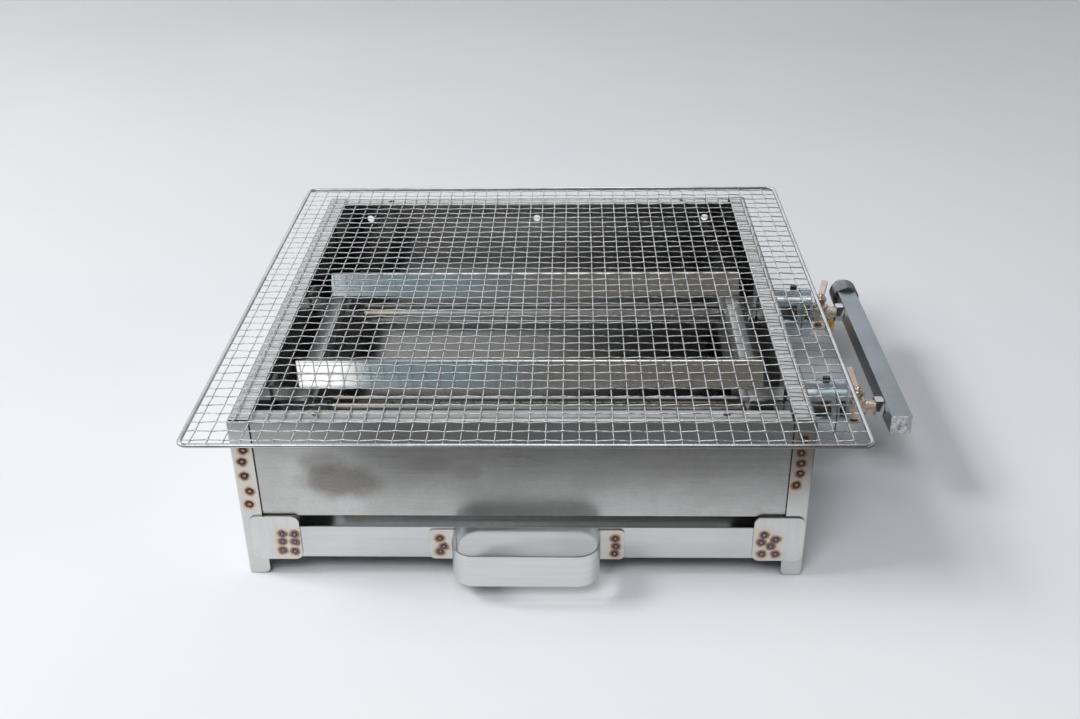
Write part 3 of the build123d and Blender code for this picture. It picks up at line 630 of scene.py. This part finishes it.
def piece(name, verts, faces, material, body, replaces=None, sharp=None,
          fix_normals=True, radial=None):
    """A smooth-shaded object from points in millimetres."""
    mesh = bpy.data.meshes.new(name)
    mesh.from_pydata([(x * MM, y * MM, z * MM) for x, y, z in verts], [], faces)
    mesh.update()
    if fix_normals:
        mend(mesh, sharp)
    mesh.polygons.foreach_set("use_smooth", [True] * len(mesh.polygons))
    if radial is not None:
        attribute = mesh.attributes.new("radial", "FLOAT", "POINT")
        attribute.data.foreach_set("value", radial)
    obj = bpy.data.objects.new(name, mesh)
    scene.collection.objects.link(obj)
    mesh.materials.append(material)
    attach(obj, body)
    if replaces:
        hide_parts(replaces)


def band(start, other, count):
    """Quads between two rings of count points that begin at start and other."""
    return [(start + k, start + (k + 1) % count, other + (k + 1) % count, other + k)
            for k in range(count)]


class Shape:
    """Collects rings of points into one piece of the body."""

    def __init__(self):
        self.verts, self.faces = [], []

    def add(self, rings, closed=False):
        """closed joins the last ring to the first; otherwise both ends are capped."""
        base, sides, count = len(self.verts), len(rings[0]), len(rings)
        for ring in rings:
            self.verts.extend(ring)
        for i in range(count if closed else count - 1):
            self.faces += band(base + i * sides, base + ((i + 1) % count) * sides, sides)
        if not closed:
            last = base + (count - 1) * sides
            self.faces.append(tuple(range(base, base + sides)))
            self.faces.append(tuple(range(last, last + sides))[::-1])

    def make(self, name, material, slot, replaces, sharp):
        piece(name, self.verts, self.faces, material, "body", replaces, sharp)


# --------------------------------------------------------------------- grate
def woven_wires(name, replaces, along_y, count, first, first_crossing, start, end, sign):
    """Crimped wires of one direction: each rides over and under the others by turns.

    first is the first wire's place across, first_crossing that of the other direction's
    first wire; sign says whether this direction starts over (1) or under (-1).
    """
    sides, steps_per_pitch = 7, 7
    verts, faces = [], []
    steps = int(round((end - start) / WIRE_PITCH * steps_per_pitch))
    along = np.linspace(start, end, steps + 1)
    for i in range(count):
        # each wire stands a little off its place and wanders sideways
        offset = rng.uniform(-0.10, 0.10)
        sway = rng.uniform(0.03, 0.11)
        phase1 = rng.uniform(0, 6.28)
        phase2 = rng.uniform(0, 6.28)
        across = (first + i * WIRE_PITCH + offset + sway * np.sin(along / 61.0 + phase1)
                  + 0.04 * np.sin(along / 23.0 + phase2))
        # each crossing has its own short crimp, and the wire runs level between crossings
        crossing = (along - first_crossing) / WIRE_PITCH
        nearest = np.round(crossing)
        crimp = np.exp(-(((crossing - nearest) * WIRE_PITCH / CRIMP_REACH) ** 2))
        over_under = np.where((nearest + i) % 2 == 0, 1.0, -1.0)
        height = GRATE_Z + sign * CRIMP_LIFT * crimp * over_under
        slope = np.gradient(height, along)
        length = np.sqrt(1 + slope * slope)
        base = len(verts)
        for k in range(len(along)):
            # in the plane of the wave, square to the wire
            up_along, up_z = -slope[k] / length[k], 1 / length[k]
            for q in range(sides):
                angle = 2 * math.pi * q / sides
                side, up = WIRE_RADIUS * math.cos(angle), WIRE_RADIUS * math.sin(angle)
                a = along[k] + up * up_along
                b = across[k] + side
                z = height[k] + up * up_z
                verts.append((b, a, z) if along_y else (a, b, z))
        last = base + steps * sides
        for ring in range(base, last, sides):
            faces += band(ring, ring + sides, sides)
        faces.append(tuple(range(base, base + sides))[::-1])
        faces.append(tuple(range(last, last + sides)))
    if along_y:
        # swapping the axes turned the faces inwards
        faces = [face[::-1] for face in faces]
    piece(name, verts, faces, wire_metal, "grate", replaces, fix_normals=False)


def grate():
    lo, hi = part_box("grate_border")
    left, front = lo.x / MM + BORDER_INSET, lo.y / MM + BORDER_INSET
    right, back = hi.x / MM - BORDER_INSET, hi.y / MM - BORDER_INSET
    first_x, first_y = left + FIRST_WIRE_X, front + FIRST_WIRE_Y
    woven_wires("woven_wires_lengthwise", "grate_wires_lengthwise", along_y=True, count=40,
                first=first_x, first_crossing=first_y,
                start=front + WIRE_END_GAP, end=back - WIRE_END_GAP, sign=1)
    woven_wires("woven_wires_crosswise", "grate_wires_crosswise", along_y=False, count=41,
                first=first_y, first_crossing=first_x,
                start=left + WIRE_END_GAP, end=right - WIRE_END_GAP, sign=-1)


grate()

# ---------------------------------------------------------------- spot welds
weld_brown = weld_material("spot_weld_brown", [
    (0.0, (0.46, 0.40, 0.34)), (0.20, (0.30, 0.22, 0.17)), (0.36, (0.42, 0.30, 0.20)),
    (0.50, (0.055, 0.035, 0.035)), (0.74, (0.045, 0.026, 0.03)), (0.88, (0.22, 0.10, 0.06)),
    (1.0, (0.46, 0.27, 0.14))])
weld_blue = weld_material("spot_weld_blue", [
    (0.0, (0.52, 0.50, 0.50)), (0.22, (0.21, 0.18, 0.25)), (0.42, (0.38, 0.31, 0.31)),
    (0.55, (0.06, 0.045, 0.09)), (0.76, (0.06, 0.042, 0.07)), (0.90, (0.26, 0.13, 0.09)),
    (1.0, (0.52, 0.34, 0.20))])

# A weld's section: fraction of its radius, height above the sheet
WELD_MIDDLE_HEIGHT = 0.05
WELD_SECTION = [(0.12, 0.04), (0.28, 0.06), (0.42, 0.16), (0.56, 0.24), (0.70, 0.20),
                (0.84, 0.09), (0.94, 0.02), (1.0, -0.05)]
WELD_BACK_DEPTH = 0.3       # the point that closes it, inside the sheet


def spot_welds(name, centres, face_y, outward, body, material, slot, size):
    """Shallow electrode prints: a dimple inside a raised rim. size is the mean radius."""
    segments = 28
    verts, faces, radial = [], [], []
    for x, z in centres:
        radius_x = size * rng.uniform(0.90, 1.08)
        radius_z = radius_x * rng.uniform(0.92, 1.05)
        turn = rng.uniform(0, 3.14)
        phase = rng.uniform(0, 6.28)
        base = len(verts)
        verts.append((x, face_y + outward * WELD_MIDDLE_HEIGHT, z))
        radial.append(0.0)
        for fraction, height in WELD_SECTION:
            for k in range(segments):
                angle = 2 * math.pi * k / segments
                wobble = (1 + 0.05 * math.sin(2 * angle + phase)
                          + 0.03 * math.sin(5 * angle + 2 * phase))
                u = radius_x * fraction * wobble * math.cos(angle)
                v = radius_z * fraction * wobble * math.sin(angle)
                dx = u * math.cos(turn) - v * math.sin(turn)
                dz = u * math.sin(turn) + v * math.cos(turn)
                # the outer rings stay level so that they meet the sheet
                uneven = 1 if fraction > 0.93 else 1 + 0.25 * math.sin(3 * angle + phase)
                verts.append((x + dx, face_y + outward * (height * uneven), z + dz))
                radial.append(fraction)
        back = len(verts)
        verts.append((x, face_y - outward * WELD_BACK_DEPTH, z))
        radial.append(1.0)
        last = back - segments
        for k in range(segments):
            k2 = (k + 1) % segments
            faces.append((base, base + 1 + k, base + 1 + k2))
            for inner in range(base + 1, last, segments):
                outer = inner + segments
                faces.append((inner + k, outer + k, outer + k2, inner + k2))
        for k in range(segments):
            faces.append((last + k, back, last + (k + 1) % segments))
    piece(name, verts, faces, material, body, radial=radial)


# place, points, face y, outward direction, body, material, slot, size
for place_name, *weld_row in (
        ("front_left", WELDS_LEFT, -FLANGE_Y, -1, "body", weld_brown, "panel_sheet", 3.3),
        ("front_right", WELDS_RIGHT, -FLANGE_Y, -1, "body", weld_brown, "panel_sheet", 3.3),
        ("back_left", WELDS_BACK_LEFT, FLANGE_Y, 1, "body", weld_brown, "panel_sheet", 3.5),
        ("back_right", WELDS_BACK_RIGHT, FLANGE_Y, 1, "body", weld_brown, "panel_sheet", 3.5),
        ("plate_left", WELDS_PLATE_LEFT, PLATE_Y, -1, "tray", weld_blue, "panel_sheet", 2.35),
        ("plate_right", WELDS_PLATE_RIGHT, PLATE_Y, -1, "tray", weld_blue, "panel_sheet", 2.7),
        ("handle", WELDS_TABS, PLATE_Y, -1, "tray", weld_brown, "handle_sheet", 2.5)):
    spot_welds("spot_welds_" + place_name, *weld_row)


# ------------------------------------------------------------- turned pieces
def along_x(y, z):
    return lambda along, u, v: (along, y + u, z + v)


def along_y(x, z):
    return lambda along, u, v: (x + u, along, z + v)


def centre(node_name):
    lo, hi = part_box(node_name)
    return [(lo[k] + hi[k]) / 2 / MM for k in range(3)]


def x_span(node_name):
    lo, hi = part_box(node_name)
    return lo.x / MM, hi.x / MM


def turned(stations, place, radius_at, segments=48):
    """Rings about an axis. A station starts with its distance along the axis."""
    rings = []
    for station in stations:
        ring = []
        for k in range(segments):
            angle = 2 * math.pi * k / segments
            radius = radius_at(station, angle)
            ring.append(place(station[0], radius * math.cos(angle), radius * math.sin(angle)))
        rings.append(ring)
    return rings


HEX, ROUND = True, False


def hex_cut(across_flats, corner_up):
    """For stations (along, radius, HEX or ROUND): HEX ones are a hexagon cut to the radius."""
    shift = math.radians(30) if corner_up else 0.0
    sixth = math.radians(60)

    def radius_at(station, angle):
        _, radius, is_hex = station
        if not is_hex:
            return radius
        outline = across_flats / 2 / math.cos(((angle + shift) % sixth) - sixth / 2)
        return min(outline, radius)

    return radius_at


def add_nut(shape, across_flats, start, end, bore, place, corner_up):
    """A bored hexagon with its corners turned back at 30 degrees at both ends."""
    face_radius = across_flats / 2 * 0.975
    slope = 1.732
    chamfer = (across_flats / 2 / math.cos(math.radians(30)) - face_radius) / slope
    steps = (0.0, 0.33, 0.66, 1.0)
    stations = [(start, bore, ROUND)]
    for step in steps:
        radius = face_radius + step * chamfer * slope
        stations.append((start + step * chamfer, radius, HEX))
    for step in reversed(steps):
        radius = face_radius + step * chamfer * slope
        stations.append((end - step * chamfer, radius, HEX))
    stations.append((end, bore, ROUND))
    shape.add(turned(stations, place, hex_cut(across_flats, corner_up)), closed=True)


_, FRONT_BURNER_Y, AXIS_Z = centre("burner_pipe_front")
BURNER_AXES = [along_x(y, AXIS_Z) for y in (FRONT_BURNER_Y, centre("burner_pipe_rear")[1])]


def union_nuts():
    """The nuts where the burners meet the gas rail."""
    start, end = x_span("rail_nuts")
    shape = Shape()
    for place in BURNER_AXES:
        add_nut(shape, 15.0, start, end, bore=5.52, place=place, corner_up=False)
    shape.make("union_nuts", chrome, "chrome_nut", "rail_nuts", sharp=24)


def back_nuts():
    """A nut either side of the right wall on each burner."""
    start, end = x_span("burner_lock_nuts")
    shape = Shape()
    for place in BURNER_AXES:
        for nut_start, nut_end in ((start, start + 7.5), (end - 6.0, end)):
            add_nut(shape, 22.0, nut_start, nut_end, bore=8.62, place=place, corner_up=False)
    shape.make("burner_back_nuts", fastener, "plated_fastener", "burner_lock_nuts", sharp=24)


def stay_bolts():
    """Bolts with a rolled thread through the left wall, and two nuts on each."""
    across_flats = 10.0
    shank_radius, thread_depth, thread_step = 3.0, 0.50, 0.25
    start, end = x_span("burner_stay_bolts")
    shank_start = start + 4.2
    plug_start, _ = x_span("burner_end_plugs")
    span = end - shank_start
    count = int(span / thread_step)

    def thread(station, angle):
        """A 1 mm pitch thread that fades out towards the head and the tip."""
        along, radius = station
        turn = (along + angle / (2 * math.pi)) % 1.0
        fade_in = min(1.0, max(0.0, (along - shank_start - 3.0) / 1.0))
        fade_out = min(1.0, max(0.0, (end - 0.4 - along) / 0.8))
        return radius - thread_depth * (fade_in * fade_out) * (1 - abs(2 * turn - 1))

    # along, radius of the corners' rounding
    head = [(start, 4.4, HEX), (start + 0.15, 4.9, HEX), (start + 0.35, 5.25, HEX),
            (start + 0.6, 5.8, HEX), (shank_start, 5.8, HEX)]
    shank = [(shank_start + span * k / count, shank_radius) for k in range(count)]
    shank += [(end - 0.05, 2.7), (end, 2.45)]
    bolts, nuts = Shape(), Shape()
    for place in BURNER_AXES:
        bolts.add(turned(head, place, hex_cut(across_flats, corner_up=True)))
        bolts.add(turned(shank, place, thread, segments=20))
        for nut_start, nut_end in ((shank_start + 1.5, shank_start + 6.5),
                                   (plug_start - 5.1, plug_start - 0.1)):
            add_nut(nuts, across_flats, nut_start, nut_end, bore=3.01, place=place,
                    corner_up=True)
    bolts.make("threaded_stay_bolts", fastener, "plated_fastener", "burner_stay_bolts", sharp=28)
    nuts.make("stay_bolt_nuts", fastener, "plated_fastener", "burner_stay_nuts", sharp=24)


def hose_nozzle():
    """A hexagon and a barbed spigot, bored through along Y."""
    lo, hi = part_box("hose_nozzle")
    x, _, z = centre("hose_nozzle")
    start, end = lo.y / MM, hi.y / MM
    bore, neck, barb_pitch, barbs_from = 3.2, 4.1, 3.9, 5.6
    # distance from the front end, radius, section
    hexagon = [(0.0, bore, ROUND), (0.0, 7.7, HEX), (0.3, 8.3, HEX), (0.8, 9.3, HEX),
               (3.7, 9.3, HEX), (4.2, 8.3, HEX), (4.5, 7.7, HEX), (4.5, neck, ROUND),
               (barbs_from, neck, ROUND)]
    stations = [(start + offset, radius, section) for offset, radius, section in hexagon]
    for k in range(3):
        barb = start + barbs_from + k * barb_pitch
        stations += [(barb + 0.05, 4.72, ROUND), (barb + 0.7, 4.75, ROUND),
                     (barb + barb_pitch - 0.1, neck, ROUND)]
    stations += [(end - 0.5, 4.0, ROUND), (end, 3.6, ROUND), (end, bore, ROUND)]
    shape = Shape()
    rings = turned(stations, along_y(x, z), hex_cut(16.0, corner_up=True))
    shape.add(rings, closed=True)
    shape.make("barbed_hose_nozzle", brass, "brass_fitting", "hose_nozzle", sharp=26)


def rail_end_cap():
    """The rail's closed front end: a lumpy cap over the whole square."""
    segments = 64
    lo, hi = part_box("rail_end_plug")
    rail_lo, rail_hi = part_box("gas_rail")
    middle_x, _, middle_z = centre("gas_rail")
    half = (rail_hi.x - rail_lo.x) / 2 / MM
    face, tip = rail_lo.y / MM, lo.y / MM
    # y, fraction of the rail's half width, squareness; the later rows count y from the face
    sections = [(hi.y / MM, 0.74, 12)]
    sections += [(face + offset, size, power) for offset, size, power in (
        (0.02, 0.745, 12), (0.01, 0.985, 10), (-0.25, 1.0, 9), (-0.6, 0.975, 8),
        (-0.85, 0.90, 6), (-1.0, 0.78, 5), (-1.05, 0.62, 4), (-1.1, 0.45, 3),
        (-1.1, 0.28, 2.5), (-1.12, 0.12, 2))]
    rings = []
    for section_y, size, power in sections:
        ring = []
        for k in range(segments):
            angle = 2 * math.pi * k / segments
            c, s = math.cos(angle), math.sin(angle)
            radius = half * size / (abs(c) ** power + abs(s) ** power) ** (1 / power)
            u, v, y = radius * c, radius * s, section_y
            if section_y < face:
                lump = (noise.noise(Vector((u * 0.55, v * 0.55, 3.1))) * 0.8
                        + noise.noise(Vector((u * 1.3, v * 1.3, 9.7))) * 0.5)
                y = min(max(section_y + lump, tip), face - 0.04)
                ragged = noise.noise(Vector((c * 2.3, s * 2.3, section_y)))
                shrink = min(1 + 0.022 * ragged - 0.012, 1.0)
                u, v = u * shrink, v * shrink
            ring.append((middle_x + u, y, middle_z + v))
        rings.append(ring)
    shape = Shape()
    shape.add(rings)
    shape.make("rail_end_cap", cast_aluminium, "rail_plug", "rail_end_plug", sharp=60)


union_nuts()
back_nuts()
stay_bolts()
hose_nozzle()
rail_end_cap()


# ---------------------------------------------------------------- the studio
def floor_material():
    net = material_net("pale_floor")
    co = net.coord()
    cloud = net.noise(co, 2.2, detail=3.0)
    weave = net.noise(co, 900.0, rough=0.6)
    color = net.mix(net.remap(cloud, (0.3, 0.7)), (0.80, 0.815, 0.84), (0.77, 0.79, 0.82))
    # painted shade: mirrored, the floor is bright only in what stands close to it and dark further
    # off
    path = net.node("LightPath").outputs
    left = net.remap(net.axes(co)[0], (-0.12, -0.24))
    distance = net.plus(path["Ray Length"], left, times=-0.11)
    dark = net.remap(distance, (0.075, 0.225), to=(0.0, 0.92))
    color = net.cover(color, dark, path["Is Glossy Ray"], over=grey(0.05))
    # painted shadow: it goes dark right under things
    contact_shadow = net.crevice(30, samples=8, openness=(0.62, 0.22), to=(0.0, 0.72))
    color = net.cover(color, contact_shadow, path["Is Camera Ray"], over=(0.10, 0.105, 0.12))
    return net.finish(color, 0.85, net.bump(weave, depth=0.15, strength=0.4), metallic=0.0)


def studio_floor():
    half, z = 6.0, cad_box[0].z - 0.0002
    mesh = bpy.data.meshes.new("studio_floor")
    corners = [(-half, -half, z), (half, -half, z), (half, half, z), (-half, half, z)]
    mesh.from_pydata(corners, [], [(0, 1, 2, 3)])
    obj = bpy.data.objects.new("studio_floor", mesh)
    scene.collection.objects.link(obj)
    mesh.materials.append(floor_material())


def direction_ramp(net, value, stops, low=-1.0):
    """Colours along one component of the direction, which runs from low to 1."""
    factor = net.remap(value, (low, 1.0), smooth=False)
    return net.ramp(factor, [((at - low) / (1.0 - low), color) for at, color in stops])


def lobe(net, direction, towards, inner, outer):
    """1 within inner degrees of a direction, 0 beyond outer."""
    dot = net.vector_math("DOT_PRODUCT", direction, Vector(towards).normalized())
    return net.remap(dot, (math.cos(math.radians(outer)), math.cos(math.radians(inner))))


def sky_color(net):
    """A pale backdrop low all round, a dark ceiling, and in front a room with a window left."""
    direction = net.node("TexCoord").outputs["Generated"]
    dx, dy, dz = net.axes(direction)
    backdrop = direction_ramp(net, dz, [
        (0.0, (0.80, 0.84, 0.89)), (0.44, (0.88, 0.91, 0.95)), (0.57, (0.74, 0.77, 0.80)),
        (0.67, (0.22, 0.22, 0.225)), (1.0, (0.16, 0.16, 0.165))], low=0.0)
    # the backdrop is dimmer to the right
    right = net.remap(dx, (0.12, 0.42))
    dimmer = net.mix(net.remap(dz, (0.52, 0.67)), (0.38, 0.40, 0.425), grey(0.16))
    backdrop = net.mix(right, backdrop, dimmer)
    # overhead in front: window, sky, then a grey and a dim warm stretch of ceiling
    high = direction_ramp(net, dx, [
        (-1.0, (0.40, 0.40, 0.41)), (-0.36, (0.40, 0.40, 0.42)), (-0.30, (2.0, 2.02, 2.05)),
        (-0.206, (2.0, 2.02, 2.05)), (-0.200, (0.27, 0.38, 0.46)), (-0.088, (0.22, 0.30, 0.35)),
        (-0.066, (0.20, 0.205, 0.21)), (0.02, (0.185, 0.178, 0.162)),
        (0.20, (0.185, 0.175, 0.155)), (0.5, grey(0.18)), (1.0, grey(0.30))])
    middle = direction_ramp(net, dx, [
        (-1.0, grey(1.2)), (-0.35, grey(1.0)), (-0.12, grey(0.88)), (-0.03, (0.58, 0.58, 0.57)),
        (0.035, (0.06, 0.06, 0.055)), (0.30, grey(0.03)), (0.55, (0.30, 0.30, 0.31)),
        (1.0, (0.42, 0.42, 0.43))])
    front = net.mix(net.remap(dz, (0.60, 0.74)), middle, high)
    is_low = net.remap(dz, (0.42, 0.30))
    low = direction_ramp(net, dx, [
        (-1.0, grey(0.9)), (-0.45, grey(0.42)), (-0.20, grey(0.13)), (0.25, grey(0.11)),
        (0.6, (0.30, 0.30, 0.31)), (1.0, (0.42, 0.42, 0.43))])
    front = net.mix(is_low, front, low)
    sky = net.mix(net.remap(dy, (0.25, -0.15)), backdrop, front)
    # a bright patch high on the left and one overhead
    left_patch = lobe(net, direction, (-0.80, 0.20, 0.57), inner=12, outer=20)
    sky = net.mix(left_patch, sky, (3.0, 3.0, 2.95))
    top_patch = lobe(net, direction, (0.0, 0.12, 0.99), inner=7, outer=12)
    sky = net.mix(top_patch, sky, (4.2, 4.23, 4.28))
    # below the horizon the light is that of the pale floor
    return net.mix(net.remap(dz, (0.02, -0.06)), sky, (0.30, 0.31, 0.33))


def studio_world():
    world = bpy.data.worlds.new("studio_world")
    scene.world = world
    net = Net(world)
    # it is smooth enough to be found by the rays themselves
    world.cycles.sampling_method = "NONE"
    sky = sky_color(net)
    path = net.node("LightPath").outputs
    # matt things take less of it, so that the window's shadows stay clear
    strength = net.remap(path["Is Diffuse Ray"], (0.0, 1.0), to=(1.0, 0.35), smooth=False)
    lighting = net.node("Background", {"Color": sky, "Strength": strength})
    seen = net.node("Background", {"Color": (0.80, 0.82, 0.85)})
    mixed = net.node("MixShader", {0: path["Is Camera Ray"], 1: lighting.outputs[0],
                                   2: seen.outputs[0]})
    net.node("OutputWorld", {"Surface": mixed.outputs[0]})


def softbox(name, place, target, size, power, color):
    """Lights the floor and anything matt; metals find the window in the world instead."""
    data = bpy.data.lights.new(name, "AREA")
    data.shape = "RECTANGLE"
    data.size, data.size_y = size
    data.energy = power
    data.color = color
    light = bpy.data.objects.new(name, data)
    scene.collection.objects.link(light)
    light.location = place
    aim = Vector(target) - Vector(place)
    light.rotation_euler = aim.to_track_quat("-Z", "Y").to_euler()
    light.visible_glossy = False


def studio_camera():
    data = bpy.data.cameras.new("camera")
    data.sensor_fit = "HORIZONTAL"
    data.sensor_width = 36.0
    data.lens = 40.305
    data.clip_start = 0.01
    camera = bpy.data.objects.new("camera", data)
    scene.collection.objects.link(camera)
    # the camera's own axes
    right = (0.999562025, 0.0254442066, -0.0151112413)
    up = (0.000813996690, 0.486799615, 0.873513293)
    backward = (0.0295819991, -0.873143017, 0.486565697)
    turn = Matrix((right, up, backward)).transposed()
    camera.matrix_world = Matrix.Translation((0.04127, -0.97911, 0.47330)) @ turn.to_4x4()
    scene.camera = camera


studio_floor()
studio_world()
softbox("window_left", place=(-2.75, -0.10, 2.75), target=(0, 0, -0.05), size=(1.5, 1.1),
        power=96.0, color=(1.0, 0.99, 0.975))
softbox("soft_front", place=(-0.5, -2.1, 2.5), target=(0, -0.1, -0.08), size=(1.8, 1.2),
        power=56.0, color=(0.95, 0.97, 1.0))
studio_camera()
scene.view_settings.view_transform = "Standard"
scene.view_settings.look = "None"
scene.view_settings.exposure = 0.0
